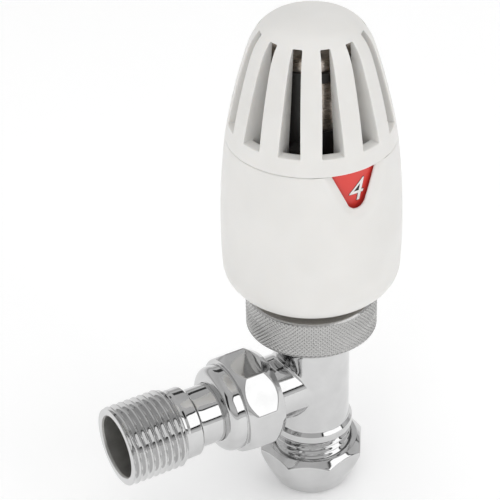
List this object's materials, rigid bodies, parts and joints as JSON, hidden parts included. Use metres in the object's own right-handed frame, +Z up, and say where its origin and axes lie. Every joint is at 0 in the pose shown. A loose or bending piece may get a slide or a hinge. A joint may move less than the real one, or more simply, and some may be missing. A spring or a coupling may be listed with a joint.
{
  "type": "thermostatic radiator valve",
  "caption": "Angle thermostatic radiator valve: chromed body with pipe nut, union and threaded tail, knurled ring, and a white slotted sensor head with a red setting window.",
  "frame": {"origin": "centre of the mouth of the pipe socket, at the compression nut's lower face", "axes": "+Z up the spindle and head, -X along the radiator tail, -Y towards the setting window"},
  "size_m": [0.0801, 0.0452, 0.1383],
  "materials": {
    "chrome": "polished chrome plate",
    "satin_chrome": "satin chrome knurl",
    "brass": "machined brass",
    "steel": "stainless steel",
    "sensor_metal": "drawn metal cup",
    "rubber": "black rubber",
    "white_plastic": "moulded white plastic, soft gloss",
    "base_plastic": "moulded off-white plastic",
    "black_plastic": "moulded black plastic",
    "red_plastic": "red plastic",
    "number_ink": "printed white numbers"
  },
  "bodies": {
    "valve_body": {"valve_body": "chrome", "compression_olive": "brass", "headwork_housing": "brass", "headwork_oring": "rubber", "spindle_guide": "brass", "spindle_oring": "rubber", "gland_nut": "brass", "return_spring": "steel", "ring_circlip": "steel", "head_base": "base_plastic", "limit_ring": "black_plastic", "setting_drum": "red_plastic"},
    "compression_nut": {"compression_nut": "chrome"},
    "radiator_tail": {"radiator_tail": "chrome", "union_seal": "rubber"},
    "union_nut": {"union_nut": "chrome"},
    "knurled_ring": {"knurled_ring": "satin_chrome"},
    "spindle": {"valve_spindle": "steel", "valve_disc": "brass", "valve_washer": "rubber", "spindle_clip": "steel"},
    "handwheel": {"handwheel_skirt": "white_plastic", "handwheel_cap": "white_plastic"},
    "sensor": {"sensor_carrier": "black_plastic", "sensor_cup": "sensor_metal", "sensor_plate": "steel", "sensor_bellows": "brass", "push_pin": "steel", "overtravel_spring": "steel", "spring_sleeve": "steel"}
  },
  "joints": [
    {"name": "handwheel_turn", "type": "hinge", "parent": "valve_body", "child": "handwheel", "pos_m": [0, 0, 0.0644], "axis": [0, 0, 1], "range_deg": [-225, 45]},
    {"name": "sensor_lift", "type": "slide", "parent": "handwheel", "child": "sensor", "axis": [0, 0, 1], "range_m": [-0.00225, 0.00045]},
    {"name": "spindle_slide", "type": "slide", "parent": "valve_body", "child": "spindle", "axis": [0, 0, 1], "range_m": [-0.00225, 0.00045], "deforming": ["return_spring"]},
    {"name": "ring_spin", "type": "hinge", "parent": "valve_body", "child": "knurled_ring", "pos_m": [0, 0, 0.0612], "axis": [0, 0, 1], "continuous": true},
    {"name": "compression_nut_spin", "type": "hinge", "parent": "valve_body", "child": "compression_nut", "pos_m": [0, 0, 0.013], "axis": [0, 0, 1], "continuous": true},
    {"name": "tail_swivel", "type": "hinge", "parent": "valve_body", "child": "radiator_tail", "pos_m": [-0.018, 0, 0.033], "axis": [-1, 0, 0], "continuous": true},
    {"name": "union_nut_spin", "type": "hinge", "parent": "radiator_tail", "child": "union_nut", "pos_m": [-0.022, 0, 0.033], "axis": [-1, 0, 0], "continuous": true}
  ],
  "couplings": [
    {"joint": "handwheel_turn", "follows": "sensor_lift", "rad_per_m": 1745.3},
    {"joint": "spindle_slide", "follows": "sensor_lift", "ratio": 1}
  ]
}
